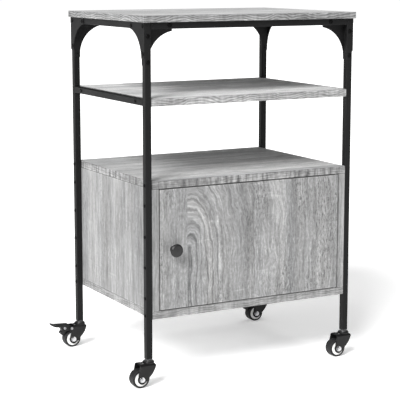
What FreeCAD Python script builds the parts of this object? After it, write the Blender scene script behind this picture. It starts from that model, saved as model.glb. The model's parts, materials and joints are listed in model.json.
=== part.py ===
"""Kitchen island cart: a square-tube frame with a worktop, a shelf and a cabinet, on four casters.

Millimetres, +Z up, the front faces -Y.  The origin is on the floor, under the
centre of the rectangle that the four posts stand on.
"""
import FreeCAD, Part
import math
import os

V = FreeCAD.Vector
X_AXIS, Y_AXIS, Z_AXIS = V(1, 0, 0), V(0, 1, 0), V(0, 0, 1)

# ---------------------------------------------------------------- driving dimensions
FRAME_W = 472.0          # over the posts, left to right
FRAME_D = 348.0          # over the posts, front to back
TUBE = 13.0              # square tube, outer size
TUBE_WALL = 1.2
TUBE_ROUND = 1.5         # outer corner radius of the tube
POST_BOTTOM = 56.0
POST_TOP = 707.0

BOARD = 15.0             # laminated board
BOARD_EDGE = 0.5         # softened board edge
TOP_BOARD = 13.0         # worktop thickness
TOP_OVER_SIDE = 4.0      # worktop overhang past the posts, at the sides
TOP_OVER_FRONT = 6.0     # and at the front and back
SHELF_TOP = 563.0
SHELF_RAIL_TOP = 562.0
CABINET_TOP = 404.0      # upper face of the cabinet's top board
CABINET_BOTTOM = 133.0   # lower face of the cabinet's bottom board
BACK_PANEL = 12.0

DOOR_GAP = 1.5
HINGE_INSET = 4.0        # pivot axis, in from the door's front and hinge-side faces
HINGE_LEAF = 1.5
HINGE_LEAF_SIZE = (15.0, 9.0)
HINGE_PIN_R = 2.0
HINGE_PIN_REACH = 6.0
RUNNING_GAP = 0.05       # radial clearance of a running fit
KNOB_X, KNOB_Z = -178.3, 268.5

GUSSET = 1.5             # bracket sheet thickness
GUSSET_R = 60.0          # bracket's concave edge
GUSSET_ARC_IN = 73.0     # centre of that edge, in from the frame's outer corner
SIDE_GUSSET = {"along": 65.0, "down": 68.0, "arc_down": 72.0}
FACE_GUSSET = {"along": 64.0, "down": 83.0, "arc_down": 77.0}

SCREW_R = 1.7
SCREW_FIT = 0.05         # radial room round a screw's shank in its hole
SIDE_SCREWS = ((7.5, 7.5), (57.5, 7.5), (7.5, 60.0))       # (along, down) on a side bracket
FACE_SCREWS = ((6.5, 26.5), (6.5, 75.5), (53.0, 6.5))      # on a front or back bracket
SHELF_SCREW_Y = 129.0
SHELF_SCREW_Z = 555.5
PANEL_SCREWS_Z = (396.5, 357.0, 296.0, 236.0, 175.0, 140.5)
TOP_SCREW_X = 110.0
TOP_SCREW_Y = 60.0
TOP_ACCESS_R = 4.2       # hole in a top rail's lower wall, for the screw that sits inside the rail
BOARD_SCREW_HEAD_R = 3.4

CATCH_LEFT, CATCH_RIGHT = -190.0, -150.0
CATCH_H, CATCH_D = 13.0, 14.0
POLE_INSET = 4.0         # pole pieces and strike plate, in from the catch's ends
STRIKE_SHEET = 1.2

WHEEL_R = 18.0
WHEEL_TRAIL = 20.0       # axle behind the swivel axis
TYRE_IN_R = 14.2
TYRE_W = 20.2
CORE_W = 18.8
CAP_R = 7.8              # hub cap, let into each face of the core
CAP_SEAT = 8.2           # its seat, from the wheel's mid plane
CAP_H = 2.6
AXLE_R = 2.5
NUT_R = 4.9              # across the axle nut's corners, halved
WASHER_R = 5.5
WASHER_H = 0.9
NUT_H = 3.3
FORK_IN, FORK_OUT = 11.2, 13.2   # inner and outer faces of the fork's legs, from its mid plane
FORK_END = (-19.2, 17.6)  # centre of the legs' rounded end, and its radius
FORK_END_R = 9.4
FORK_LEFT = -23.5        # back edge of the legs, at the top
FORK_BEND = 4.5          # outer radius of the bend between the top plate and a leg
FORK_RACE_R = 11.6
FORK_SHEET = FORK_OUT - FORK_IN
FORK_TOP = 47.5
FORK_RACE_TOP = 50.1
KINGPIN_R = 3.0
KINGPIN_HEAD_R, KINGPIN_HEAD_H = 5.2, 2.1
KINGPIN_LOW = 43.0
STEM_RACE_R = 8.5
STEM_RACE_LOW = 50.5
STEM_HEX_LOW = 52.5      # top of the upper race
STEM_HEX_R = 6.9         # across the hexagon's corners, halved
STEM_HEX_HIGH = 54.5     # and the lower face of the post's plug
STUD_R = 4.0
STUD_H = 25.0
PLUG_TOP = 84.0
AXLE_END = 5.0           # axle past each leg's outer face
BRAKE_PIVOT = (-24.0, 42.0)      # x and z from the swivel axis on the floor
BRAKE_RIVET = (-39.0, 43.6)
BRAKE_ANGLE = 15.0               # pedal travel down to the braked position
BRAKE_GAP = 0.35                 # shoe to tyre when braked
PIN_R = 1.6
PIN_HEAD_R = 3.0
PEDAL_HALF = 10.8
PEDAL_SHEET = 1.5
PEDAL_TIP = -69.3                # end of the tread, and where its round end begins
PEDAL_ROUND = -56.0
SHOE_HALF = 6.0

HALF_W, HALF_D = FRAME_W / 2, FRAME_D / 2
POST_X, POST_Y = HALF_W - TUBE / 2, HALF_D - TUBE / 2      # post centre lines
INNER_X, INNER_Y = HALF_W - TUBE, HALF_D - TUBE            # posts' inner faces
PANEL_IN = INNER_X - BOARD                                 # inner faces of the cabinet's sides
CABINET_FLOOR = CABINET_BOTTOM + BOARD
CABINET_CEILING = CABINET_TOP - BOARD
DOOR_X = PANEL_IN - DOOR_GAP
DOOR_LOW, DOOR_HIGH = CABINET_FLOOR + DOOR_GAP, CABINET_CEILING - DOOR_GAP
DOOR_FRONT, DOOR_BACK = -HALF_D, -HALF_D + BOARD
HINGE_X, HINGE_Y = DOOR_X - HINGE_INSET, DOOR_FRONT + HINGE_INSET

SIDES = {"left": -1, "right": 1}
FACES = {"front": -1, "back": 1}
CORNERS = {f"{face}_{side}": (sx, sy) for face, sy in FACES.items() for side, sx in SIDES.items()}
BRAKED = ("back_left", "back_right")
# how far round each wheel stands, in degrees; they never stop alike
WHEEL_TURNS = {"front_left": 20.0, "front_right": 131.0, "back_left": 247.0, "back_right": 305.0}


# ---------------------------------------------------------------- shape helpers
def block(low, high):
    """Box between two corners."""
    size = [high[i] - low[i] for i in range(3)]
    return Part.makeBox(*size, V(*low))


def rod(start, axis, radius, length):
    """Cylinder from a point along an axis."""
    return Part.makeCylinder(radius, length, V(*start), axis)


def soften(shape, radius, keep=lambda edge: True):
    """Round the edges that keep accepts."""
    return shape.makeFillet(radius, [edge for edge in shape.Edges if keep(edge)])


def runs_along(axis):
    """Test for straight edges parallel to an axis."""
    def test(edge):
        if not isinstance(edge.Curve, Part.Line):
            return False
        return abs(edge.Curve.Direction.dot(axis)) > 0.999
    return test


def at(x=None, y=None, z=None):
    """Test for edges whose whole length lies at the given coordinates."""
    wanted = [(axis, value) for axis, value in zip("xyz", (x, y, z)) if value is not None]

    def test(edge):
        return all(abs(getattr(vertex.Point, axis) - value) < 1e-4
                   for vertex in edge.Vertexes for axis, value in wanted)
    return test


def face_of(steps, place):
    """Closed face: each step is a point, or (mid, end) of an arc from the last point."""
    start = last = place(*steps[0])
    edges = []
    for step in steps[1:]:
        if isinstance(step[0], tuple):
            mid, end = place(*step[0]), place(*step[1])
            edges.append(Part.Arc(last, mid, end).toShape())
        else:
            end = place(*step)
            edges.append(Part.LineSegment(last, end).toShape())
        last = end
    if last.distanceToPoint(start) > 1e-6:
        edges.append(Part.LineSegment(last, start).toShape())
    return Part.Face(Part.Wire(edges))


def side_prism(steps, y_low, y_high):
    """Outline in X and Z, given thickness along Y."""
    face = face_of(steps, lambda x, z: V(x, y_low, z))
    return face.extrude(V(0, y_high - y_low, 0))


def around(centre, radius, degrees):
    """Point on a circle, the angle measured from +X towards +Z or +Y."""
    angle = math.radians(degrees)
    return (centre[0] + radius * math.cos(angle), centre[1] + radius * math.sin(angle))


def turned(point, pivot, degrees):
    """Point turned about a pivot, from +X towards +Z."""
    angle = math.radians(degrees)
    dx, dz = point[0] - pivot[0], point[1] - pivot[1]
    return (pivot[0] + dx * math.cos(angle) - dz * math.sin(angle),
            pivot[1] + dx * math.sin(angle) + dz * math.cos(angle))


def group(shapes):
    """Separate solids that share one node."""
    return Part.makeCompound(shapes)


def cut_all(shape, tools):
    """Shape without the tools."""
    return shape.cut(tools) if tools else shape


# ---------------------------------------------------------------- fasteners
class Screw:
    """Pan-head screw: a place on a surface, a direction into it, a length and a head."""

    def __init__(self, start, direction, length, head_r=4.0, head_h=1.7):
        self.start, self.direction, self.length = V(*start), V(*direction), length
        self.head_r, self.head_h = head_r, head_h

    def solid(self):
        back = self.direction * -self.head_h
        head = Part.makeCylinder(self.head_r, self.head_h, self.start + back, self.direction)
        rim = max(head.Edges, key=lambda edge: -edge.CenterOfMass.dot(self.direction))
        head = head.makeFillet(self.head_h * 0.7, [rim])
        shank = Part.makeCylinder(SCREW_R, self.length, self.start, self.direction)
        recess_at = self.start + back
        slots = []
        for across in (Z_AXIS, self.direction.cross(Z_AXIS)):
            if across.Length < 0.5 or abs(across.dot(self.direction)) > 0.5:
                across = X_AXIS if across.Length > 0.5 else Y_AXIS
            other = self.direction.cross(across)
            corner = recess_at - across * 2.0 - other * 0.4
            slot = face_of([(0, 0), (4.0, 0), (4.0, 0.8), (0, 0.8)],
                           lambda a, b: corner + across * a + other * b)
            slots.append(slot.extrude(self.direction * 0.9))
        return head.cut(slots).fuse(shank)

    def hole(self):
        start = self.start - self.direction * 0.5
        return Part.makeCylinder(SCREW_R + SCREW_FIT, self.length + 0.8, start, self.direction)


def side_bracket_screws():
    screws = []
    for sx, sy in CORNERS.values():
        for along, down in SIDE_SCREWS:
            start = (sx * (HALF_W + GUSSET), sy * (HALF_D - along), POST_TOP - down)
            screws.append(Screw(start, (-sx, 0, 0), 6.0))
    return screws


def face_bracket_screws():
    screws = []
    for sx, sy in CORNERS.values():
        for along, down in FACE_SCREWS:
            start = (sx * (HALF_W - along), sy * HALF_D, POST_TOP - down)
            screws.append(Screw(start, (0, -sy, 0), TUBE + 2 * GUSSET, head_r=4.6, head_h=1.5))
    return screws


def panel_screws():
    """Through the posts and shelf rails into the edges and faces of the boards."""
    screws = []
    for sx in SIDES.values():
        for sy in FACES.values():
            for z in PANEL_SCREWS_Z:
                start = (sx * HALF_W, sy * POST_Y, z)
                screws.append(Screw(start, (-sx, 0, 0), TUBE + 11.0, head_r=BOARD_SCREW_HEAD_R))
            start = (sx * HALF_W, sy * SHELF_SCREW_Y, SHELF_SCREW_Z)
            screws.append(Screw(start, (-sx, 0, 0), TUBE + 20.0, head_r=BOARD_SCREW_HEAD_R))
    return screws


def top_screw_spots():
    spots = [(sx * TOP_SCREW_X, sy * POST_Y) for sx in (-1, 1) for sy in (-1, 1)]
    return spots + [(sx * POST_X, sy * TOP_SCREW_Y) for sx in (-1, 1) for sy in (-1, 1)]


def top_screws():
    """Up through the top rails' upper wall into the worktop, their heads inside the rails."""
    low = POST_TOP - TUBE_WALL
    return [Screw((x, y, low), Z_AXIS, TUBE_WALL + 8.0, head_r=BOARD_SCREW_HEAD_R)
            for x, y in top_screw_spots()]


def top_access_holes():
    """Through the top rails' lower wall, under each screw."""
    return [rod((x, y, POST_TOP - TUBE - 1.0), Z_AXIS, TOP_ACCESS_R, TUBE_WALL + 2.0)
            for x, y in top_screw_spots()]


BRACKET_SCREWS = side_bracket_screws() + face_bracket_screws()
BOARD_SCREWS = panel_screws() + top_screws()
ALL_HOLES = [screw.hole() for screw in BRACKET_SCREWS + BOARD_SCREWS] + top_access_holes()


def drilled(shape):
    """Shape with the holes of every screw that reaches it."""
    box = shape.BoundBox
    return cut_all(shape, [hole for hole in ALL_HOLES if box.intersect(hole.BoundBox)])


# ---------------------------------------------------------------- frame
def tube(low, high):
    """Square tube along the longest side of the box, open at both ends."""
    size = [high[i] - low[i] for i in range(3)]
    run = size.index(max(size))
    outer = soften(block(low, high), TUBE_ROUND, runs_along((X_AXIS, Y_AXIS, Z_AXIS)[run]))
    inner_low = [low[i] + (0 if i == run else TUBE_WALL) for i in range(3)]
    inner_high = [high[i] - (0 if i == run else TUBE_WALL) for i in range(3)]
    return drilled(outer.cut(block(inner_low, inner_high)))


def post(sx, sy):
    x, y, half = sx * POST_X, sy * POST_Y, TUBE / 2
    return tube((x - half, y - half, POST_BOTTOM), (x + half, y + half, POST_TOP))


def cross_rail(sy):
    """Top rail at the front or the back, between two posts."""
    y, half = sy * POST_Y, TUBE / 2
    return tube((-INNER_X, y - half, POST_TOP - TUBE), (INNER_X, y + half, POST_TOP))


def side_rail(sx, top):
    """Rail at a side, between two posts."""
    x, half = sx * POST_X, TUBE / 2
    return tube((x - half, -INNER_Y, top - TUBE), (x + half, INNER_Y, top))


def gusset(spec, place, thickness):
    """Corner plate: two arms and a concave quarter-round edge between them.

    place maps (along the rail, down the post) from the frame's outer corner.
    """
    along, down, arc_down = spec["along"], spec["down"], spec["arc_down"]
    plate = face_of([(0, 0), (along, 0), (along, down), (0, down)], place).extrude(thickness)
    centre = place(GUSSET_ARC_IN, arc_down) - thickness
    plate = plate.cut(Part.makeCylinder(GUSSET_R, 3 * GUSSET, centre, thickness))
    tips = [place(along, 0), place(0, down)]
    direction = V(thickness).normalize()
    crosswise = runs_along(direction)

    def is_tip(edge):
        gaps = [(edge.CenterOfMass - tip).cross(direction).Length for tip in tips]
        return crosswise(edge) and min(gaps) < 0.5

    return soften(plate, 4.0, is_tip)


def corner_brackets(sx, sy):
    """Side plate on the frame's outer face, and a plate behind the front or back rail."""
    side = gusset(SIDE_GUSSET, lambda a, d: V(sx * HALF_W, sy * (HALF_D - a), POST_TOP - d),
                  V(sx * GUSSET, 0, 0))
    inner = gusset(FACE_GUSSET, lambda a, d: V(sx * (HALF_W - a), sy * INNER_Y, POST_TOP - d),
                   V(0, -sy * GUSSET, 0))
    x_low, x_high = sorted((sx * INNER_X, sx * HALF_W))
    y_low, y_high = sorted((sy * INNER_Y, sy * (INNER_Y - GUSSET)))
    rail_end = block((x_low, y_low, POST_TOP - TUBE), (x_high, y_high, POST_TOP))
    return group([drilled(side), drilled(inner.cut(rail_end))])


# ---------------------------------------------------------------- boards
def board(low, high, edge=BOARD_EDGE):
    return drilled(soften(block(low, high), edge))


def top_board():
    x, y = HALF_W + TOP_OVER_SIDE, HALF_D + TOP_OVER_FRONT
    return board((-x, -y, POST_TOP), (x, y, POST_TOP + TOP_BOARD), 0.8)


def level_board(top):
    """Horizontal board between the posts, flush with their front and back faces."""
    return board((-INNER_X, -HALF_D, top - BOARD), (INNER_X, HALF_D, top))


def cabinet_side(sx):
    x_low, x_high = sorted((sx * PANEL_IN, sx * INNER_X))
    return board((x_low, -HALF_D, CABINET_FLOOR), (x_high, HALF_D, CABINET_CEILING))


def cabinet_back():
    return board((-PANEL_IN, HALF_D - BACK_PANEL, CABINET_FLOOR), (PANEL_IN, HALF_D, CABINET_CEILING))


# ---------------------------------------------------------------- door
HINGE_ENDS = {"low": (CABINET_FLOOR, -1), "high": (CABINET_CEILING, 1)}   # board face, way into it


def hinge_leaf(face_z, way):
    """Pivot leaf let into a surface at face_z, its thickness going the given way."""
    x_size, y_size = HINGE_LEAF_SIZE
    z_low, z_high = sorted((face_z, face_z + way * HINGE_LEAF))
    low = (HINGE_X + HINGE_INSET - 0.5 - x_size, HINGE_Y - 3.0, z_low)
    high = (HINGE_X + HINGE_INSET - 0.5, HINGE_Y - 3.0 + y_size, z_high)
    return soften(block(low, high), 2.0, runs_along(Z_AXIS))


def hinge_pin(face_z, way, radius, reach):
    """Upright cylinder through both leaves of one pivot."""
    depth = DOOR_GAP + reach
    z_low = min(face_z - way * depth, face_z + way * reach)
    return rod((HINGE_X, HINGE_Y, z_low), Z_AXIS, radius, depth + reach)


def hinge_plates_cabinet():
    leaves = []
    for face_z, way in HINGE_ENDS.values():
        bore = hinge_pin(face_z, way, HINGE_PIN_R + RUNNING_GAP, HINGE_PIN_REACH)
        leaves.append(hinge_leaf(face_z, way).cut(bore))
    return group(leaves)


def hinge_plates_door():
    leaves = []
    for face_z, way in HINGE_ENDS.values():
        bore = hinge_pin(face_z, way, HINGE_PIN_R, HINGE_PIN_REACH)
        leaves.append(hinge_leaf(face_z - way * DOOR_GAP, -way).cut(bore))
    return group(leaves)


def hinge_pins():
    return group([hinge_pin(z, way, HINGE_PIN_R, HINGE_PIN_REACH) for z, way in HINGE_ENDS.values()])


def hinge_seat(shape, face_z, way):
    """Cabinet board with its leaf's recess and a clear hole for the pin."""
    shape = shape.cut(hinge_leaf(face_z, way))
    return shape.cut(hinge_pin(face_z, way, HINGE_PIN_R + 0.4, HINGE_PIN_REACH + 1.0))


def cabinet_top():
    return hinge_seat(level_board(CABINET_TOP), *HINGE_ENDS["high"])


def cabinet_bottom():
    return hinge_seat(level_board(CABINET_FLOOR), *HINGE_ENDS["low"])


def door():
    panel = block((-DOOR_X, DOOR_FRONT, DOOR_LOW), (DOOR_X, DOOR_BACK, DOOR_HIGH))
    panel = soften(panel, 1.5, at(x=DOOR_X, y=DOOR_FRONT))
    panel = soften(panel, BOARD_EDGE, lambda edge: at(y=DOOR_BACK)(edge) or at(x=-DOOR_X)(edge))
    for face_z, way in HINGE_ENDS.values():
        panel = panel.cut(hinge_leaf(face_z - way * DOOR_GAP, -way))
        panel = panel.cut(hinge_pin(face_z, way, HINGE_PIN_R, HINGE_PIN_REACH))
    bolt = rod((KNOB_X, DOOR_FRONT - 1, KNOB_Z), Y_AXIS, SCREW_R + SCREW_FIT, BOARD + 2)
    return panel.cut(bolt)


def knob_profile():
    """Half section of the mushroom knob: radius, and height above the door's face."""
    return [(0, 0), (6.5, 0), (6.5, 1.6), ((5.0, 6.5), (6.2, 11.5)), ((9.8, 13.6), (12.6, 15.2)),
            ((13.2, 17.4), (12.0, 19.6)), ((11.4, 20.8), (10.0, 21.4)), (0, 22.0)]


def door_knob():
    section = face_of(knob_profile(), lambda r, h: V(KNOB_X + r, DOOR_FRONT - h, KNOB_Z))
    knob = section.revolve(V(KNOB_X, DOOR_FRONT, KNOB_Z), Y_AXIS, 360)
    return knob.cut(rod((KNOB_X, DOOR_FRONT - 9.0, KNOB_Z), Y_AXIS, SCREW_R + SCREW_FIT, 10.0))


def knob_screw():
    return Screw((KNOB_X, DOOR_BACK, KNOB_Z), (0, -1, 0), BOARD + 8.0, head_r=4.2).solid()


def magnetic_catch():
    """Catch body under the cabinet's top board, its two pole pieces facing the door."""
    front = DOOR_BACK + 2.0
    case = block((CATCH_LEFT, front, CABINET_CEILING - CATCH_H),
                 (CATCH_RIGHT, front + CATCH_D, CABINET_CEILING))
    case = soften(case, 1.0, runs_along(Z_AXIS))
    left, right = CATCH_LEFT + POLE_INSET, CATCH_RIGHT - POLE_INSET
    poles = []
    for z in (CABINET_CEILING - 10.5, CABINET_CEILING - 4.5):
        poles.append(block((left, front - 0.3, z), (right, front + 10.0, z + 1.5)))
    return group([case.cut(poles)] + poles)


def strike_plate():
    low = (CATCH_LEFT + POLE_INSET, DOOR_BACK, CABINET_CEILING - 12.0)
    high = (CATCH_RIGHT - POLE_INSET, DOOR_BACK + STRIKE_SHEET, CABINET_CEILING - 2.0)
    return soften(block(low, high), 2.0, runs_along(Y_AXIS))


# ---------------------------------------------------------------- casters
def post_insert():
    """Plug in the post's lower end, round the caster's stud."""
    outer, inner = TUBE / 2, TUBE / 2 - TUBE_WALL
    flange = block((-outer, -outer, STEM_HEX_HIGH), (outer, outer, POST_BOTTOM))
    body = block((-inner, -inner, POST_BOTTOM), (inner, inner, PLUG_TOP))
    plug = soften(flange, TUBE_ROUND, runs_along(Z_AXIS)).fuse(body)
    return plug.cut(rod((0, 0, STEM_HEX_HIGH - 0.5), Z_AXIS, STUD_R, STUD_H + 1.0))


def caster_stem():
    """Stud, hexagon, upper race and kingpin in one riveted piece."""
    corners = [around((0, 0), STEM_HEX_R, 60 * step) for step in range(6)]
    outline = face_of(corners, lambda x, y: V(x, y, STEM_HEX_LOW))
    hexagon = outline.extrude(V(0, 0, STEM_HEX_HIGH - STEM_HEX_LOW))
    race = rod((0, 0, STEM_RACE_LOW), Z_AXIS, STEM_RACE_R, STEM_HEX_LOW - STEM_RACE_LOW)
    race = soften(race, 0.6, at(z=STEM_HEX_LOW))
    kingpin = rod((0, 0, KINGPIN_LOW + 0.5), Z_AXIS, KINGPIN_R, STEM_RACE_LOW - KINGPIN_LOW - 0.5)
    head = soften(rod((0, 0, KINGPIN_LOW), Z_AXIS, KINGPIN_HEAD_R, KINGPIN_HEAD_H), 0.8, at(z=KINGPIN_LOW))
    return rod((0, 0, STEM_HEX_HIGH), Z_AXIS, STUD_R, STUD_H).multiFuse([hexagon, race, kingpin, head])


def fork_outline(lug):
    """Side view of the fork's legs; a braked caster's fork has a lug round the brake's pivot."""
    steps = [around(FORK_END, FORK_END_R, 180),
             (around(FORK_END, FORK_END_R, 235), around(FORK_END, FORK_END_R, 290)),
             (-6.8, 15.2), (-3.2, 21.2), ((5.6, 31.4), (10.5, 43.2)), ((9.6, 46.2), (6.8, FORK_TOP))]
    if lug:
        steps += [(BRAKE_PIVOT[0], FORK_TOP),
                  (around(BRAKE_PIVOT, 5.5, 170), around(BRAKE_PIVOT, 5.5, 225)), (-25.6, 31.0)]
    else:
        steps += [(FORK_LEFT + 4.0, FORK_TOP), ((FORK_LEFT + 1.2, 46.3), (FORK_LEFT, 43.5))]
    return steps


def fork_section(half, top, bend):
    """Cross-section of the fork's outside or inside, run through along X."""
    section = block((-40, -half, 0), (20, half, top))
    return soften(section, bend, lambda edge: runs_along(X_AXIS)(edge) and at(z=top)(edge))


def caster_fork(braked):
    """Pressed fork: two legs, a top plate with the swivel race, and a web at the back of the bend."""
    ceiling = FORK_TOP - FORK_SHEET
    hollow = [(-40, 0), (20, 0), (20, 27.5), (0.0, 27.5), ((4.4, 33.2), (8.5, 43.2)),
              ((7.9, 44.8), (6.4, ceiling)), (-40, ceiling)]
    shell = side_prism(fork_outline(braked), -FORK_OUT, FORK_OUT)
    shell = shell.common(fork_section(FORK_OUT, FORK_TOP, FORK_BEND))
    inside = side_prism(hollow, -FORK_IN, FORK_IN)
    fork = shell.cut(inside.common(fork_section(FORK_IN, ceiling, FORK_BEND - FORK_SHEET)))
    if braked:
        fork = fork.cut(block((-40, -FORK_IN, 34), (BRAKE_PIVOT[0] + 7.0, FORK_IN, 60)))
    race = soften(rod((0, 0, FORK_TOP - 1), Z_AXIS, FORK_RACE_R, FORK_RACE_TOP - FORK_TOP + 1), 1.6,
                  at(z=FORK_RACE_TOP))
    fork = fork.fuse(race).removeSplitter()
    fork = fork.cut(rod((0, 0, 40), Z_AXIS, KINGPIN_R + RUNNING_GAP, 20))
    fork = fork.cut(rod((-WHEEL_TRAIL, -20, WHEEL_R), Y_AXIS, AXLE_R, 40))
    if braked:
        fork = fork.cut(rod((BRAKE_PIVOT[0], -20, BRAKE_PIVOT[1]), Y_AXIS, PIN_R + RUNNING_GAP, 40))
    return fork


def crosswise_pin(x, z, radius, head_r, half, head_h):
    """Pin along Y with a rounded head at each end, the heads starting at y = half."""
    solids = [rod((x, -half - 0.1, z), Y_AXIS, radius, 2 * half + 0.2)]
    for way in (-1, 1):
        head = rod((x, way * half, z), Y_AXIS * way, head_r, head_h)
        solids.append(soften(head, head_h * 0.6, at(y=way * (half + head_h))))
    return solids[0].multiFuse(solids[1:])


def caster_axle():
    """Axle bolt with a washer and a hexagon at each end."""
    x, z = -WHEEL_TRAIL, WHEEL_R
    solids = []
    for way in (-1, 1):
        washer = rod((x, way * FORK_OUT, z), Y_AXIS * way, WASHER_R, WASHER_H)
        solids.append(soften(washer, 0.3, at(y=way * (FORK_OUT + WASHER_H))))
        base = way * (FORK_OUT + WASHER_H)
        corners = [around((x, z), NUT_R, 60 * step + 30) for step in range(6)]
        solids.append(face_of(corners, lambda a, b: V(a, base, b)).extrude(V(0, way * NUT_H, 0)))
    reach = FORK_OUT + AXLE_END
    bolt = rod((x, -reach, z), Y_AXIS, AXLE_R, 2 * reach)
    return bolt.multiFuse(solids)


def wheel_ring(inner_r, outer_r, half_width, edge):
    centre = (-WHEEL_TRAIL, -half_width, WHEEL_R)
    disc = soften(rod(centre, Y_AXIS, outer_r, 2 * half_width), edge)
    return disc.cut(rod((centre[0], -20, centre[2]), Y_AXIS, inner_r, 40))


def wheel_tyre():
    return wheel_ring(TYRE_IN_R, WHEEL_R, TYRE_W / 2, 1.6)


def wheel_core():
    core = wheel_ring(AXLE_R + RUNNING_GAP, TYRE_IN_R, CORE_W / 2, 0.01)
    for way in (-1, 1):
        core = core.cut(rod((-WHEEL_TRAIL, way * CAP_SEAT, WHEEL_R), Y_AXIS * way, CAP_R, 5.0))
    return core


def wheel_caps():
    caps = []
    for way in (-1, 1):
        disc = rod((-WHEEL_TRAIL, way * CAP_SEAT, WHEEL_R), Y_AXIS * way, CAP_R, CAP_H)
        disc = soften(disc, 1.2, at(y=way * (CAP_SEAT + CAP_H)))
        caps.append(disc.cut(rod((-WHEEL_TRAIL, -20, WHEEL_R), Y_AXIS, AXLE_R + 0.3, 40)))
    return group(caps)


def pedal_plan(inset):
    """The pedal's outline from above, as a tall block, drawn in by inset."""
    half = PEDAL_HALF - inset
    outline = [(-15, -half), (-15, half), (PEDAL_ROUND, half), ((PEDAL_TIP + inset, 0), (PEDAL_ROUND, -half))]
    return face_of(outline, lambda x, y: V(x, y, 30)).extrude(V(0, 0, 40))


def brake_pedal():
    """Treadle: a tread plate with a turned-up tip and a skirt, and two side flanges on the pivot."""
    tread = [(-27.0, 49.2), (-53.0, 50.9), ((-61.5, 52.4), (-68.3, 56.0)), (-69.1, 54.6),
             ((-62.0, 50.8), (-53.2, 49.3)), (-27.0, 47.6)]
    skirt = [(-40.0, 49.6), (-53.0, 50.3), ((-61.6, 51.6), (-68.6, 55.2)), (-70.0, 53.0),
             ((-62.4, 48.9), (-53.3, 47.3)), (-40.0, 46.6)]
    flange = [(-24.0, 37.1), (-36.0, 36.6), (-44.0, 40.6), (-54.0, 49.5), (-53.5, 50.3), (-28.0, 48.6),
              (-24.0, 46.9), ((-19.1, 42.0), (-24.0, 37.1))]
    inner = PEDAL_HALF - PEDAL_SHEET
    rim = side_prism(skirt, -PEDAL_HALF, PEDAL_HALF).cut(pedal_plan(PEDAL_SHEET))
    sides = [side_prism(flange, *ends) for ends in ((-PEDAL_HALF, -inner), (inner, PEDAL_HALF))]
    pedal = side_prism(tread, -PEDAL_HALF, PEDAL_HALF).multiFuse([rim, *sides]).common(pedal_plan(0))
    for x, z in (BRAKE_PIVOT, BRAKE_RIVET):
        pedal = pedal.cut(rod((x, -20, z), Y_AXIS, PIN_R, 40))
    return pedal


def brake_shoe():
    """Block under the pedal; its hollow face meets the tyre when the pedal is pressed."""
    wheel = turned((-WHEEL_TRAIL, WHEEL_R), BRAKE_PIVOT, -BRAKE_ANGLE)
    reach = WHEEL_R + BRAKE_GAP
    steps = [around(wheel, reach, 115), (around(wheel, reach, 133), around(wheel, reach, 150)),
             (-44.4, 28.4), (-46.8, 31.2), (-46.3, 34.4), (-43.5, 36.5), (-43.5, 48.2),
             (-34.5, 47.6), (-33.5, 38.0)]
    shoe = side_prism(steps, -SHOE_HALF, SHOE_HALF)
    return shoe.cut(rod((BRAKE_RIVET[0], -20, BRAKE_RIVET[1]), Y_AXIS, PIN_R, 40))


def brake_pins():
    pivot = crosswise_pin(*BRAKE_PIVOT, PIN_R, PIN_HEAD_R, FORK_OUT + 0.3, 1.3)
    rivet = crosswise_pin(*BRAKE_RIVET, PIN_R, PIN_HEAD_R, PEDAL_HALF, 1.3)
    return group([pivot, rivet])


# ---------------------------------------------------------------- assembly
def moved(shape, x, y):
    copy = shape.copy()
    copy.translate(V(x, y, 0))
    return copy


def frame_parts():
    parts = {}
    for name, (sx, sy) in CORNERS.items():
        parts[f"post_{name}"] = post(sx, sy)
        parts[f"corner_brackets_{name}"] = corner_brackets(sx, sy)
    for name, sy in FACES.items():
        parts[f"top_rail_{name}"] = cross_rail(sy)
    for name, sx in SIDES.items():
        parts[f"top_rail_{name}"] = side_rail(sx, POST_TOP)
        parts[f"shelf_rail_{name}"] = side_rail(sx, SHELF_RAIL_TOP)
        parts[f"cabinet_side_{name}"] = cabinet_side(sx)
    parts["top_board"] = top_board()
    parts["middle_shelf"] = level_board(SHELF_TOP)
    parts["cabinet_top"] = cabinet_top()
    parts["cabinet_bottom"] = cabinet_bottom()
    parts["cabinet_back"] = cabinet_back()
    parts["bracket_screws"] = group([screw.solid() for screw in BRACKET_SCREWS])
    parts["board_screws"] = group([screw.solid() for screw in BOARD_SCREWS])
    parts["hinge_plates_cabinet"] = hinge_plates_cabinet()
    parts["magnetic_catch"] = magnetic_catch()
    return parts


def door_parts():
    return {"door": door(), "hinge_plates_door": hinge_plates_door(), "hinge_pins": hinge_pins(),
            "door_knob": door_knob(), "knob_screw": knob_screw(), "strike_plate": strike_plate()}


def caster_parts():
    places = {name: (sx * POST_X, sy * POST_Y) for name, (sx, sy) in CORNERS.items()}
    parts = {"post_inserts": group([moved(post_insert(), *spot) for spot in places.values()]),
             "caster_stems": group([moved(caster_stem(), *spot) for spot in places.values()])}
    for name, spot in places.items():
        wheel = {"tyre": wheel_tyre(), "wheel_core": wheel_core(), "wheel_caps": wheel_caps()}
        for shape in wheel.values():
            shape.rotate(V(-WHEEL_TRAIL, 0, WHEEL_R), Y_AXIS, WHEEL_TURNS[name])
        pieces = {"fork": caster_fork(name in BRAKED), "axle": caster_axle(), **wheel}
        if name in BRAKED:
            pieces.update(brake_pedal=brake_pedal(), brake_shoe=brake_shoe(), brake_pins=brake_pins())
        for piece, shape in pieces.items():
            parts[f"{piece}_{name}"] = moved(shape, *spot)
    return parts


def main():
    os.makedirs("parts", exist_ok=True)
    parts = {**frame_parts(), **door_parts(), **caster_parts()}
    for name, shape in parts.items():
        if not shape.isValid():
            raise RuntimeError(f"{name} isn't a valid shape")
        shape.exportStep(f"parts/{name}.step")
        print(f"{name:32s} {len(shape.Solids):3d} solids {shape.Volume / 1000:10.2f} cm3")
    print(len(parts), "nodes")


main()
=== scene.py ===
"""Kitchen island cart: materials, small pieces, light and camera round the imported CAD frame."""

import json
import math

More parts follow.
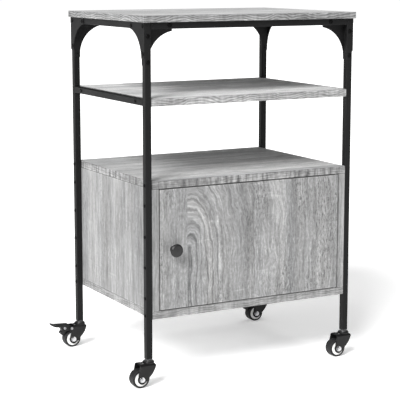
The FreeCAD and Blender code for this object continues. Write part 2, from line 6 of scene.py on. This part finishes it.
import bmesh
import bpy
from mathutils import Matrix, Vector


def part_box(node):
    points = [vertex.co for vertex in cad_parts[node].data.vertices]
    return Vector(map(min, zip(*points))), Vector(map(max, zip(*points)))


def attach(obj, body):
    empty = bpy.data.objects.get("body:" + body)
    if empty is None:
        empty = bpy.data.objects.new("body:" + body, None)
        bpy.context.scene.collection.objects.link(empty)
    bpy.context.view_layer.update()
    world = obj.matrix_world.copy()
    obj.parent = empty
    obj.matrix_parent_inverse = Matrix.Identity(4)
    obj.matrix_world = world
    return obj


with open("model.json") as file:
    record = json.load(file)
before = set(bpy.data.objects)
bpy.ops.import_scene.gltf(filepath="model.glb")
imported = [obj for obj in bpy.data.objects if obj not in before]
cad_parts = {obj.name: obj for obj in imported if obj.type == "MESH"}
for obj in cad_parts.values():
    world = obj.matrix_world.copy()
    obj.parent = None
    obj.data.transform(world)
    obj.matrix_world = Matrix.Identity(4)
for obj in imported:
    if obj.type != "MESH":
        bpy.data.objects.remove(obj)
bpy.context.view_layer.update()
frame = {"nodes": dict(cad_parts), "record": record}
nodes = frame["nodes"]


# ---------------------------------------------------------------- node trees
class Tree:
    """A material's node tree, with short calls for the nodes used here."""

    def __init__(self, name):
        self.material = bpy.data.materials.new(name)
        self.material.use_nodes = True
        self.nodes = self.material.node_tree.nodes
        self.links = self.material.node_tree.links
        self.shader = self.nodes["Principled BSDF"]
        coords = self.nodes.new("ShaderNodeTexCoord")
        self.place, self.normal = coords.outputs["Object"], coords.outputs["Normal"]

    def put(self, value, socket):
        """Link a socket, or set a constant on it."""
        if isinstance(value, bpy.types.NodeSocket):
            self.links.new(value, socket)
        elif value is not None:
            socket.default_value = value

    def math(self, operation, a, b=None):
        node = self.nodes.new("ShaderNodeMath")
        node.operation = operation
        self.put(a, node.inputs[0])
        self.put(b, node.inputs[1])
        return node.outputs[0]

    def add(self, *values):
        total = values[0]
        for value in values[1:]:
            total = self.math("ADD", total, value)
        return total

    def times(self, a, b):
        return self.math("MULTIPLY", a, b)

    def axes(self, vector):
        node = self.nodes.new("ShaderNodeSeparateXYZ")
        self.put(vector, node.inputs[0])
        return node.outputs[0], node.outputs[1], node.outputs[2]

    def vector(self, x, y, z):
        node = self.nodes.new("ShaderNodeCombineXYZ")
        for value, socket in zip((x, y, z), node.inputs):
            self.put(value, socket)
        return node.outputs[0]

    def scaled(self, vector, scale, offset=(0, 0, 0)):
        node = self.nodes.new("ShaderNodeMapping")
        self.put(vector, node.inputs["Vector"])
        node.inputs["Scale"].default_value = scale
        node.inputs["Location"].default_value = offset
        return node.outputs[0]

    def noise(self, vector, scale=1.0, detail=2.0, roughness=0.5):
        node = self.nodes.new("ShaderNodeTexNoise")
        self.put(vector, node.inputs["Vector"])
        for name, value in (("Scale", scale), ("Detail", detail), ("Roughness", roughness)):
            node.inputs[name].default_value = value
        return node.outputs["Fac"]

    def span(self, value, low, high, to_low=0.0, to_high=1.0, smooth=False):
        """The value's range from low to high spread over to_low to to_high."""
        node = self.nodes.new("ShaderNodeMapRange")
        node.interpolation_type = "SMOOTHSTEP" if smooth else "LINEAR"
        for number, socket in zip((value, low, high, to_low, to_high), node.inputs):
            self.put(number, socket)
        return node.outputs[0]

    def around_one(self, value, amount):
        """Noise from 0 to 1 made into a factor about 1."""
        return self.span(value, 0.25, 0.75, 1 - amount, 1 + amount)

    def ramp(self, value, stops):
        """Grey level by value; stops are (value, level)."""
        node = self.nodes.new("ShaderNodeValToRGB")
        self.put(value, node.inputs[0])
        ramp = node.color_ramp
        while len(ramp.elements) < len(stops):
            ramp.elements.new(0.5)
        for element, (where, level) in zip(ramp.elements, stops):
            element.position = where
            element.color = (level, level, level, 1)
        return node.outputs["Color"]

    def mix(self, share, a, b, kind="RGBA"):
        node = self.nodes.new("ShaderNodeMix")
        node.data_type = kind
        sockets = {"RGBA": (6, 7, 2), "FLOAT": (2, 3, 0)}[kind]
        self.put(share, node.inputs[0])
        self.put(a, node.inputs[sockets[0]])
        self.put(b, node.inputs[sockets[1]])
        return node.outputs[sockets[2]]

    def tint(self, value, colour):
        """A grey value times a colour."""
        red, green, blue = (self.times(value, level) for level in colour)
        node = self.nodes.new("ShaderNodeCombineColor")
        for level, socket in zip((red, green, blue), node.inputs):
            self.put(level, socket)
        return node.outputs[0]

    def bump(self, height, distance, strength=1.0):
        node = self.nodes.new("ShaderNodeBump")
        self.put(height, node.inputs["Height"])
        node.inputs["Distance"].default_value = distance
        node.inputs["Strength"].default_value = strength
        self.links.new(node.outputs[0], self.shader.inputs["Normal"])

    def surface(self, **values):
        """Set the shader's sockets by name, with _ for a space."""
        for name, value in values.items():
            self.put(value, self.shader.inputs[name.replace("_", " ")])
        return self.material


# ---------------------------------------------------------------- wood
WANDER = 0.012           # how far the grain strays across the board
ARCH_PITCH = 0.0118      # between the lines of the door's arches
EDGE_GAP_SHADE = 0.0011       # width of the painted shade of the gap along a board's edge
EDGE_HIGHLIGHT_END = 0.0026       # where the painted highlight beside it ends
ENDWISE_PAINTED_SHADE = 0.14    # painted shade on the cabinet sides' narrow faces at the front and back


class Wood(Tree):
    """Grey oak laminate on one board. grain is the axis that it runs along; tone, its base level, is set per
    board as painted light and shade.
    """

    def __init__(self, node, grain, seed, tone):
        super().__init__("oak " + node.replace("_", " "))
        self.low, self.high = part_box(node)
        self.seed, self.tone = seed, tone
        self.x, self.y, self.z = self.axes(self.place)
        facing = self.axes(self.normal)
        # steep is 1 on all upright faces, endwise on those that face the front or the back; they also pick
        # the faces that get painted shade
        self.steep = self.math("LESS_THAN", self.math("ABSOLUTE", facing[2]), 0.5)
        self.endwise = self.math("GREATER_THAN", self.math("ABSOLUTE", facing[1]), 0.5)
        if grain == "z":
            self.along, across = self.z, self.add(self.x, self.y)
        else:
            self.along = self.mix(self.steep, self.x, self.add(self.x, self.y), "FLOAT")
            across = self.mix(self.steep, self.y, self.z, "FLOAT")
        wander = self.noise(self.vector(self.times(self.along, 2.7), self.times(across, 14), seed),
                            detail=1.0)
        self.across = self.add(across, self.centred(wander, WANDER))
        self.shade = 1.0

    def centred(self, noise, width):
        """Noise from 0 to 1 made into a shift about 0."""
        return self.times(self.math("SUBTRACT", noise, 0.5), width)

    def fleck(self, mask, patches, amount):
        """Lighter where both masks are, or darker for an amount below 0."""
        self.darken(self.add(1.0, self.times(self.times(mask, patches), amount)))

    def grains(self, per_metre, stretch, detail, shift, roughness=0.55):
        """Noise in streaks along the grain; stretch is how much longer they are than wide."""
        where = self.vector(self.times(self.along, per_metre / stretch),
                            self.times(self.across, per_metre), self.seed + shift)
        return self.noise(where, detail=detail, roughness=roughness)

    def patches(self, along, across, shift):
        """Soft mask from 0 to 1, in patches so many to the metre."""
        where = self.vector(self.times(self.along, along), self.times(self.across, across),
                            self.seed + shift)
        return self.span(self.noise(where, detail=1.0), 0.44, 0.62, 0, 1, True)

    def cloud(self, a, a_scale, b, b_scale, shift):
        """Noise over two of the board's coordinates, each with its own scale."""
        return self.noise(self.vector(self.times(a, a_scale), self.times(b, b_scale), self.seed + shift),
                          detail=2.0)

    def darken(self, factor):
        """Multiply the shade; a factor above 1 lightens it."""
        self.shade = self.times(self.shade, factor)

    def lay_grain(self, contrast):
        """Planks, streaks, fibres and pores, from wide to fine."""
        self.planks = self.grains(26, 30, 1.0, 1.3)
        self.fibres = self.grains(310, 13, 2.0, 9.1)
        self.pores = self.grains(1500, 24, 1.0, 2.9)
        streaks = self.grains(75, 16, 3.0, 5.7, 0.65)
        for layer, amount in ((self.planks, 0.13), (streaks, 0.34), (self.fibres, 0.30), (self.pores, 0.14)):
            self.darken(self.around_one(layer, amount * contrast))

    def lay_flecks(self, amount):
        """Short dark and light dashes in patches, and a few soft saw marks across the grain."""
        dashes = self.span(self.grains(330, 3.4, 2.0, 31.0, 0.7), 0.50, 0.66)
        self.fleck(dashes, self.patches(5, 15, 23), -amount)
        light = self.span(self.grains(270, 3.6, 2.0, 47.0, 0.7), 0.52, 0.70)
        self.fleck(light, self.patches(7, 17, 53), 0.7 * amount)
        pebbles = self.grains(250, 1.9, 3.0, 59.0, 0.65)
        self.darken(self.around_one(pebbles, 0.48 * amount))
        where = self.vector(self.times(self.along, 190), self.times(self.across, 13), self.seed + 61)
        saw = self.span(self.noise(where, detail=1.0), 0.58, 0.80, 0, 1, True)
        self.fleck(saw, self.patches(8, 14, 71), 0.55 * amount)

    def lay_bands(self, axis, stops):
        """Wide light and dark bands across the panel, from its low side to its high side."""
        low, high = self.low[axis], self.high[axis]
        place = (self.x, self.y)[axis]
        wander = self.centred(self.grains(20, 6, 1.0, 83.0), 0.006)
        share = self.math("DIVIDE", self.add(place, wander, -low), high - low)
        self.darken(self.times(self.ramp(share, stops), 1.25))

    def bend_grain(self, centre, low, left_edge):
        """Right of an edge, the grain runs up in nested arches: upright below a height, round above it."""
        wobble = self.cloud(self.x, 22, self.z, 8, 50)
        sideways = self.add(self.x, -centre, self.centred(wobble, 0.013))
        rise = self.math("MAXIMUM", self.math("SUBTRACT", self.z, low), 0.0)
        round_top = self.math("SQRT", self.add(self.times(sideways, sideways),
                                               self.times(self.times(rise, rise), 0.25)))
        uneven = self.cloud(self.x, 45, self.z, 24, 57)
        self.reach = self.add(round_top, self.centred(uneven, 0.012))
        edge = centre + left_edge
        self.bent = self.span(self.x, edge, edge + 0.0012, 0.0, 1.0, True)
        self.across = self.mix(self.bent, self.across, self.add(self.reach, centre), "FLOAT")

    def lay_arches(self, strength):
        """Dark and light lines along the bent grain, fading away from the arches' centre."""
        ragged = self.cloud(self.x, 300, self.z, 70, 61)
        ring = self.math("FRACT", self.times(self.add(self.reach, self.centred(ragged, 0.0035)),
                                             1 / ARCH_PITCH))
        line = self.ramp(ring, [(0.0, 0.5), (0.16, 0.10), (0.28, 0.22), (0.42, 0.64), (0.62, 0.56),
                                (1.0, 0.5)])
        breaks = self.span(self.grains(90, 8, 2.0, 67.0), 0.30, 0.56, 0.45, 1.0, True)
        near = self.span(self.reach, 0.045, 0.105, 1.0, 0.0, True)
        share = self.times(self.times(near, breaks), self.bent)
        self.darken(self.add(1.0, self.times(self.math("SUBTRACT", line, 0.5), self.times(share, strength))))

    def lay_edge_figure(self, waves, blotches, narrow_face_shade):
        """On the narrow faces of a level board: long wavy lines and blotches, on faces darkened as painted
        shade.
        """
        run = self.add(self.x, self.y)
        bend = self.cloud(run, 13, self.z, 8, 90)
        line = self.math("SINE", self.times(self.add(self.times(self.z, 210), self.times(bend, 9.0)),
                                            2 * math.pi))
        blot = self.noise(self.vector(self.times(run, 105), self.times(self.z, 20), self.seed + 95),
                          detail=3.0, roughness=0.6)
        blot = self.span(blot, 0.34, 0.66)
        change = self.add(self.times(line, waves), self.centred(blot, 2 * blotches))
        # upright faces are darkened here by the last argument as painted shade
        self.darken(self.add(1.0, self.times(self.math("SUBTRACT", change, narrow_face_shade), self.steep)))

    def paint_edge_shade_and_highlight(self, amount, gap_shade_depth):
        """Painted shade of the gap along every edge of the board, and a painted highlight just inside it.

        A place is near an edge when the second smallest of its gaps to the board's faces is small.
        """
        gaps = []
        for place, low, high in zip((self.x, self.y, self.z), self.low, self.high):
            gaps.append(self.math("MINIMUM", self.math("SUBTRACT", place, low),
                                  self.math("SUBTRACT", high, place)))
        a, b, c = gaps
        second = self.math("MAXIMUM", self.math("MINIMUM", a, b),
                           self.math("MINIMUM", self.math("MAXIMUM", a, b), c))
        # first a painted highlight just inside the edge, then painted shade of the gap at the very edge
        light = self.times(self.span(second, EDGE_GAP_SHADE, EDGE_GAP_SHADE + 0.0003, 0.0, 1.0),
                           self.span(second, EDGE_GAP_SHADE + 0.0006, EDGE_HIGHLIGHT_END, 1.0, 0.0, True))
        gap_shade = self.span(second, 0.0, EDGE_GAP_SHADE, gap_shade_depth, 0.0)
        self.darken(self.add(1.0, self.times(light, amount), self.times(gap_shade, -1.0)))

    def done(self):
        """The finished material, a little warmer in some planks than in others."""
        warm = self.tint(self.shade, (self.tone * 1.012, self.tone, self.tone * 0.985))
        cool = self.tint(self.shade, (self.tone * 0.985, self.tone, self.tone * 1.015))
        self.bump(self.add(self.times(self.pores, 0.5), self.fibres), 0.00014, 0.6)
        return self.surface(Base_Color=self.mix(self.planks, cool, warm),
                            Roughness=self.span(self.fibres, 0.3, 0.7, 0.60, 0.50), Specular_IOR_Level=0.3)


def upright_board(node, seed, tone, stops=None, arches=None, flecks=0.36, gap_shade=0.35):
    """Board with upright grain; stops are its bands' levels, arches what bend_grain takes, and the last
    argument how dark the painted shade along its edges goes.
    """
    wood = Wood(node, "z", seed, tone)
    if arches:
        wood.bend_grain(*arches)
    wood.lay_grain(1.0)
    wood.lay_flecks(flecks)
    if stops:
        wood.lay_bands(0 if node == "door" else 1, stops)
    # painted shade on the sides' narrow front and back faces
    if node.startswith("cabinet_side"):
        wood.darken(wood.add(1.0, wood.times(wood.endwise, -ENDWISE_PAINTED_SHADE)))
    if arches:
        wood.lay_arches(1.10)
    wood.paint_edge_shade_and_highlight(0.26, gap_shade)
    return wood.done()


def level_board(node, seed, tone, waves, blotches, narrow_face_shade):
    """Board with grain from left to right, its narrow faces darkened as painted shade and marked with waves
    and blotches.
    """
    wood = Wood(node, "x", seed, tone)
    wood.lay_grain(1.1)
    wood.lay_flecks(0.22)
    wood.lay_edge_figure(waves, blotches, narrow_face_shade)
    wood.paint_edge_shade_and_highlight(0.16, 0.50)
    return wood.done()


# ---------------------------------------------------------------- the other materials
def powder_coat(name, level, rough, seed, specular=0.13):
    """Black coat on steel, with a fine grit and a few pale specks."""
    tree = Tree(name)
    cloud = tree.noise(tree.place, 14.0, 2.0)
    grit = tree.noise(tree.scaled(tree.place, (1, 1, 1), (seed, 0, 0)), 1900.0, 2.0)
    specks = tree.span(tree.noise(tree.place, 5200.0, 1.0), 0.66, 0.8)
    shade = tree.times(tree.around_one(cloud, 0.14), tree.around_one(grit, 0.16))
    shade = tree.add(shade, tree.times(specks, 0.8))
    tree.bump(grit, 0.00006, 0.5)
    return tree.surface(Base_Color=tree.tint(shade, (level, level, level * 1.03)),
                        Roughness=tree.span(cloud, 0.3, 0.7, rough - 0.06, rough + 0.06),
                        Specular_IOR_Level=specular)


def moulded(name, colour, rough, texture=1100.0, depth=0.00003, specular=0.4):
    """Plastic or rubber with a fine surface and a little dust and rub."""
    tree = Tree(name)
    rub = tree.noise(tree.place, 160.0, 3.0, 0.6)
    fine = tree.noise(tree.place, texture, 2.0)
    shade = tree.times(tree.around_one(rub, 0.10), tree.around_one(fine, 0.07))
    tree.bump(fine, depth, 0.6)
    return tree.surface(Base_Color=tree.tint(shade, colour),
                        Roughness=tree.span(rub, 0.3, 0.7, rough - 0.07, rough + 0.07),
                        Specular_IOR_Level=specular)


def plated(name, level, rough, brushed):
    """Bare or plated steel; brushed is the stretch of its fine scratches."""
    tree = Tree(name)
    scratches = tree.noise(tree.scaled(tree.place, (900, 900, 900 / brushed)), 1.0, 3.0, 0.6)
    stain = tree.noise(tree.place, 130.0, 2.0)
    shade = tree.times(tree.around_one(scratches, 0.07), tree.around_one(stain, 0.10))
    tree.bump(scratches, 0.00002, 0.4)
    return tree.surface(Base_Color=tree.tint(shade, (level, level, level * 1.02)), Metallic=1.0,
                        Roughness=tree.span(stain, 0.3, 0.7, rough - 0.05, rough + 0.07))


def tyre_rubber():
    """Soft black rubber, scuffed and a little dusty."""
    tree = Tree("soft tyre")
    scuff = tree.noise(tree.place, 240.0, 4.0, 0.65)
    fine = tree.noise(tree.place, 2600.0, 2.0)
    dust = tree.span(tree.noise(tree.place, 90.0, 3.0), 0.45, 0.75)
    shade = tree.add(tree.around_one(scuff, 0.2), tree.times(dust, 0.5))
    tree.bump(tree.add(fine, tree.times(scuff, 0.6)), 0.00007, 0.6)
    return tree.surface(Base_Color=tree.tint(shade, (0.013, 0.013, 0.0135)),
                        Roughness=tree.span(dust, 0, 1, 0.5, 0.72), Specular_IOR_Level=0.22)


# levels across the door, and across a cabinet side from front to back
DOOR_BANDS = [(0.0, 0.78), (0.035, 0.70), (0.05, 0.84), (0.24, 0.85), (0.40, 0.80), (0.485, 0.72),
              (0.512, 0.68), (0.520, 0.87), (0.64, 0.84), (0.685, 0.92), (0.70, 0.80), (0.725, 0.64),
              (0.762, 0.63), (0.770, 0.80), (0.90, 0.84), (0.975, 0.74), (1.0, 0.72)]
SIDE_BANDS = [(0.0, 0.84), (0.10, 0.82), (0.14, 0.74), (0.24, 0.72), (0.32, 0.80), (0.50, 0.82),
              (0.585, 0.80), (0.60, 0.66), (0.65, 0.66), (0.67, 0.84), (0.90, 0.85), (0.93, 0.72),
              (1.0, 0.74)]
DOOR_ARCHES = (-0.140, 0.266, -0.007)   # centre, height where they begin, left edge from the centre

coat = powder_coat("black powder coat", 0.0085, 0.52, 0.0)
pressed = powder_coat("black caster steel", 0.0065, 0.32, 3.0, 0.26)
oxide = powder_coat("black oxide screws", 0.0015, 0.34, 7.0, 0.10)
black_plastic = moulded("black plastic", (0.012, 0.012, 0.0125), 0.42, 1100.0, 0.00003, 0.3)
knob_black = moulded("knob black", (0.006, 0.006, 0.0065), 0.37, 700.0, 0.00001, 0.50)
catch_white = moulded("catch plastic", (0.66, 0.66, 0.64), 0.45)
wheel_white = moulded("wheel plastic", (0.90, 0.90, 0.89), 0.3, 900.0, 0.00001, 0.5)
rubber = tyre_rubber()
chrome = plated("bright plating", 0.55, 0.20, 1.0)
zinc = plated("zinc plating", 0.55, 0.34, 14.0)
dull_steel = plated("dull plating", 0.30, 0.32, 3.0)
# plating darkened to stand in for the shade round the swivel stems: painted shade
shade_darkened_steel = plated("dark plating", 0.13, 0.30, 3.0)

BY_SLOT = {"black_frame": coat, "caster_steel": pressed, "screw_steel": oxide, "black_plastic": black_plastic,
           "knob_black": knob_black, "catch_plastic": catch_white, "wheel_plastic": wheel_white,
           "tyre_rubber": rubber, "bright_steel": chrome, "zinc_steel": zinc}
# each board's tone is set to how bright it looks under the light, the level boards lighter and the upright
# ones darker: painted light and shade on one laminate
BY_NODE = {
    "door": upright_board("door", 3.0, 0.245, DOOR_BANDS, DOOR_ARCHES, 0.60, 0.80),
    "cabinet_side_left": upright_board("cabinet_side_left", 21.0, 0.255, SIDE_BANDS, None, 0.30, 0.75),
    "cabinet_side_right": upright_board("cabinet_side_right", 27.0, 0.255, SIDE_BANDS, None, 0.30, 0.75),
    "cabinet_back": upright_board("cabinet_back", 35.0, 0.255),
    "top_board": level_board("top_board", 44.0, 0.49, 0.16, 0.08, 0.58),
    "middle_shelf": level_board("middle_shelf", 71.0, 0.60, 0.13, 0.10, 0.54),
    "cabinet_top": level_board("cabinet_top", 98.0, 0.41, 0.05, 0.30, 0.50),
    "cabinet_bottom": level_board("cabinet_bottom", 113.0, 0.43, 0.08, 0.13, 0.47),
    "caster_stems": shade_darkened_steel, "brake_pins_back_left": dull_steel, "brake_pins_back_right": dull_steel,
}


def dress(piece, material):
    """Give a piece one material and no other."""
    piece.data.materials.clear()
    piece.data.materials.append(material)


for part in frame["record"]["subparts"]:
    dress(nodes[part["node"]], BY_NODE.get(part["node"]) or BY_SLOT[part["material_slot"]])


# ---------------------------------------------------------------- small trim on the casters
MM = 0.001
CORNERS = [name[len("fork_"):] for name in nodes if name.startswith("fork_")]
JOINT_AT = {joint["name"]: Vector(joint["pos_m"]) for joint in frame["record"]["behaviour"]["joints"]}
UP, AXLE = Vector((0, 0, 1)), Vector((0, 1, 0))
BEAD_FOOT = 0.3 * MM     # how deep a bead's foot goes into what it stands on


def add_piece(name, mesh_or_curve, material, body):
    """Put a small piece in the scene, riding on its body."""
    piece = bpy.data.objects.new(name, mesh_or_curve)
    bpy.context.scene.collection.objects.link(piece)
    dress(piece, material)
    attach(piece, body)
    return piece


def turned_ring(spots, axis, steps=96):
    """Mesh of closed profiles turned about an axis; each is (centre, [(radius, height), ...])."""
    points, faces = [], []
    up = axis.normalized()
    across = up.orthogonal().normalized()
    other = up.cross(across)
    for centre, profile in spots:
        first, count = len(points), len(profile)
        for step in range(steps):
            angle = 2 * math.pi * step / steps
            out = across * math.cos(angle) + other * math.sin(angle)
            points += [centre + out * radius + up * height for radius, height in profile]
        for step in range(steps):
            here, there = first + step * count, first + (step + 1) % steps * count
            for index in range(count):
                after = (index + 1) % count
                faces.append((here + index, there + index, there + after, here + after))
    return meshed(points, faces)


def meshed(points, faces):
    """Smooth mesh with doubled points joined and all faces turned outward."""
    mesh = bpy.data.meshes.new("piece")
    mesh.from_pydata(points, [], faces)
    form = bmesh.new()
    form.from_mesh(mesh)
    bmesh.ops.remove_doubles(form, verts=form.verts, dist=1e-7)
    bmesh.ops.recalc_face_normals(form, faces=form.faces)
    form.to_mesh(mesh)
    form.free()
    for face in mesh.polygons:
        face.use_smooth = True
    return mesh


def bead(radius, height, half_width, rise, along_axis, steps=10):
    """Half-round bead's profile, standing off a radius, or off a face along the axis."""
    profile = []
    for step in range(steps + 1):
        angle = math.pi * step / steps
        side, up = half_width * math.cos(angle), rise * math.sin(angle)
        profile.append((radius + side, height + up) if along_axis else (radius + up, height + side))
    foot = math.copysign(BEAD_FOOT, -rise)
    for r, h in (profile[-1], profile[0]):
        profile.append((r, h + foot) if along_axis else (r + foot, h))
    return profile


def wheel_trim(corner):
    """Moulding lines round the tyre, and raised lips on both faces of the white core."""
    body = f"wheel_{corner}"
    centre = JOINT_AT[f"wheel_spin_{corner}"]
    low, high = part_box(f"tyre_{corner}")
    radius = (high[2] - low[2]) / 2
    shoulder = (high[1] - low[1]) / 2 - 2.3 * MM
    lines = [(centre, bead(radius, height, 0.35 * MM, 0.14 * MM, False))
             for height in (-shoulder, 0.0, shoulder)]
    add_piece(f"tyre_moulding_lines_{corner}", turned_ring(lines, AXLE), rubber, body)
    low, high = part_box(f"wheel_core_{corner}")
    outer, half = (high[2] - low[2]) / 2, (high[1] - low[1]) / 2
    lips = []
    for way in (-1, 1):
        lips.append((centre, bead(outer - 0.7 * MM, way * half, 0.6 * MM, way * 0.45 * MM, True)))
        lips.append((centre, bead(outer - 5.6 * MM, way * half, 0.5 * MM, way * 0.40 * MM, True)))
    add_piece(f"wheel_lips_{corner}", turned_ring(lips, AXLE), wheel_white, body)


# spine of the bead pressed into a fork's leg: millimetres along X and up, from the swivel axis at the floor
LEG_END, LEG_END_R = (-19.2, 17.6), 8.3
LEG_BACK, LEG_FRONT = (-24.9, 31.0), [(-7.7, 15.9), (-4.1, 21.9), (4.4, 32.0), (9.2, 42.4)]
LEG_ROUND = range(176, 291, 19)      # degrees about LEG_END
# two rivets on the crown: behind the swivel axis, under the fork's top, and to each side
RIVET_BACK, RIVET_UNDER, RIVET_SIDE = 14.0 * MM, 2.6 * MM, 5.2 * MM
RIVET_R, RIVET_RISE, RIVET_SUNK = 1.7 * MM, 1.1 * MM, 0.3 * MM


def leg_spine():
    """The bead's path: down the back of the leg, round its end and up the front."""
    spine = [LEG_BACK]
    for degrees in LEG_ROUND:
        angle = math.radians(degrees)
        spine.append((LEG_END[0] + LEG_END_R * math.cos(angle), LEG_END[1] + LEG_END_R * math.sin(angle)))
    return spine + LEG_FRONT


def fork_trim(corner):
    """Pressed beads round the legs, a dust ring at the swivel and two rivets on the crown."""
    body, at = f"caster_{corner}", JOINT_AT[f"swivel_{corner}"]
    low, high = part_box(f"fork_{corner}")
    half = (high[1] - low[1]) / 2
    curve = bpy.data.curves.new(f"fork_beads_{corner}", "CURVE")
    curve.dimensions, curve.bevel_depth, curve.bevel_resolution = "3D", 0.55 * MM, 4
    curve.use_fill_caps = True
    for way in (-1, 1):
        spine = leg_spine()
        spline = curve.splines.new("NURBS")
        spline.points.add(len(spine) - 1)
        for point, (x, z) in zip(spline.points, spine):
            point.co = (at.x + x * MM, at.y + way * half, z * MM, 1)
        spline.order_u, spline.use_endpoint_u, spline.resolution_u = 3, True, 8
    add_piece(f"fork_beads_{corner}", curve, pressed, body)

    race_top = Vector((at.x, at.y, high[2]))
    ring = [(race_top, bead(10.1 * MM, 0.0, 1.05 * MM, 0.75 * MM, True))]
    add_piece(f"dust_ring_{corner}", turned_ring(ring, UP), black_plastic, body)

    dome = [(RIVET_R * math.cos(math.radians(turn)), RIVET_RISE * math.sin(math.radians(turn)))
            for turn in range(0, 90, 15)]
    dome += [(0.0, RIVET_RISE), (0.0, -RIVET_SUNK), (RIVET_R, -RIVET_SUNK)]
    crown = Vector((at.x - RIVET_BACK, at.y, high[2] - RIVET_UNDER))
    rivets = [(crown + Vector((0, way * RIVET_SIDE, 0)), dome) for way in (-1, 1)]
    add_piece(f"crown_rivets_{corner}", turned_ring(rivets, UP, 40), dull_steel, body)


for corner in CORNERS:
    wheel_trim(corner)
    fork_trim(corner)


# ---------------------------------------------------------------- floor, light, camera
FLOOR_HALF = 60.0
FLOOR_DROP = 0.0002      # the floor lies this far under the wheels
WALL_R, WALL_LOW, WALL_HIGH, WALL_STEPS = 18.0, -1.0, 12.0, 64
# name, where it comes from, degrees wide, strength
LIGHTS = [("key", (-0.80, -0.60, 0.80), 24.0, 4.3),
          ("left", (-1.0, -0.15, 0.45), 25.0, 0.7),
          ("overhead", (0.0, 0.0, 1.0), 40.0, 0.9)]
AMBIENT = 0.12
EYE = (-1.3649, -2.4648, 0.8064)
LOOK_RIGHT, LOOK_DOWN = math.radians(28.555), math.radians(8.857)
LENS_MM, SENSOR_MM, SHIFT_DOWN = 121.97, 36.0, 0.05


def floor():
    half = FLOOR_HALF
    mesh = bpy.data.meshes.new("floor")
    mesh.from_pydata([(-half, -half, 0), (half, -half, 0), (half, half, 0), (-half, half, 0)], [],
                     [(0, 1, 2, 3)])
    piece = bpy.data.objects.new("floor", mesh)
    piece.location.z = -FLOOR_DROP
    bpy.context.scene.collection.objects.link(piece)
    tree = Tree("pale floor")
    shade = tree.around_one(tree.noise(tree.place, 3.0, 2.0), 0.004)
    dress(piece, tree.surface(Base_Color=tree.tint(shade, (0.92, 0.92, 0.92)), Roughness=0.9,
                              Specular_IOR_Level=0.1, Emission_Color=(1, 1, 1, 1), Emission_Strength=0.36))


def backdrop():
    """Pale wall all round the floor, only for the camera, so that low views have no dark horizon."""
    steps = WALL_STEPS
    turns = [2 * math.pi * step / steps for step in range(steps)]
    points = [(WALL_R * math.cos(turn), WALL_R * math.sin(turn), z)
              for z in (WALL_LOW, WALL_HIGH) for turn in turns]
    faces = [(step, (step + 1) % steps, steps + (step + 1) % steps, steps + step) for step in range(steps)]
    piece = bpy.data.objects.new("backdrop", meshed(points, faces))
    bpy.context.scene.collection.objects.link(piece)
    for ray in ("diffuse", "glossy", "transmission", "volume_scatter", "shadow"):
        setattr(piece, "visible_" + ray, False)
    tree = Tree("pale backdrop")
    shade = tree.around_one(tree.noise(tree.place, 0.2, 2.0), 0.004)
    dress(piece, tree.surface(Base_Color=(0, 0, 0, 1), Specular_IOR_Level=0.0,
                              Emission_Color=shade, Emission_Strength=1.02))


def soft_sun(name, toward, spread, strength):
    """Far light from the direction toward, its disc spread degrees wide."""
    data = bpy.data.lights.new(name, "SUN")
    data.angle, data.energy = math.radians(spread), strength
    lamp = bpy.data.objects.new(name, data)
    lamp.rotation_mode = "QUATERNION"
    lamp.rotation_quaternion = Vector(toward).to_track_quat("Z", "Y")
    bpy.context.scene.collection.objects.link(lamp)


def camera():
    """The photograph's view, with a small shift."""
    data = bpy.data.cameras.new("camera")
    data.lens, data.sensor_width, data.shift_y = LENS_MM, SENSOR_MM, -SHIFT_DOWN
    data.clip_end = 200.0
    eye = bpy.data.objects.new("camera", data)
    level = math.cos(LOOK_DOWN)
    ahead = Vector((math.sin(LOOK_RIGHT) * level, math.cos(LOOK_RIGHT) * level, -math.sin(LOOK_DOWN)))
    eye.location = EYE
    eye.rotation_mode = "QUATERNION"
    eye.rotation_quaternion = ahead.to_track_quat("-Z", "Y")
    bpy.context.scene.collection.objects.link(eye)
    bpy.context.scene.camera = eye


def surroundings(strength):
    """Even white light from all round."""
    world = bpy.data.worlds.new("studio")
    world.use_nodes = True
    background = world.node_tree.nodes["Background"]
    background.inputs["Color"].default_value = (1, 1, 1, 1)
    background.inputs["Strength"].default_value = strength
    bpy.context.scene.world = world


floor()
backdrop()
for light in LIGHTS:
    soft_sun(*light)
surroundings(AMBIENT)
bpy.context.scene.view_settings.view_transform = "Standard"
camera()
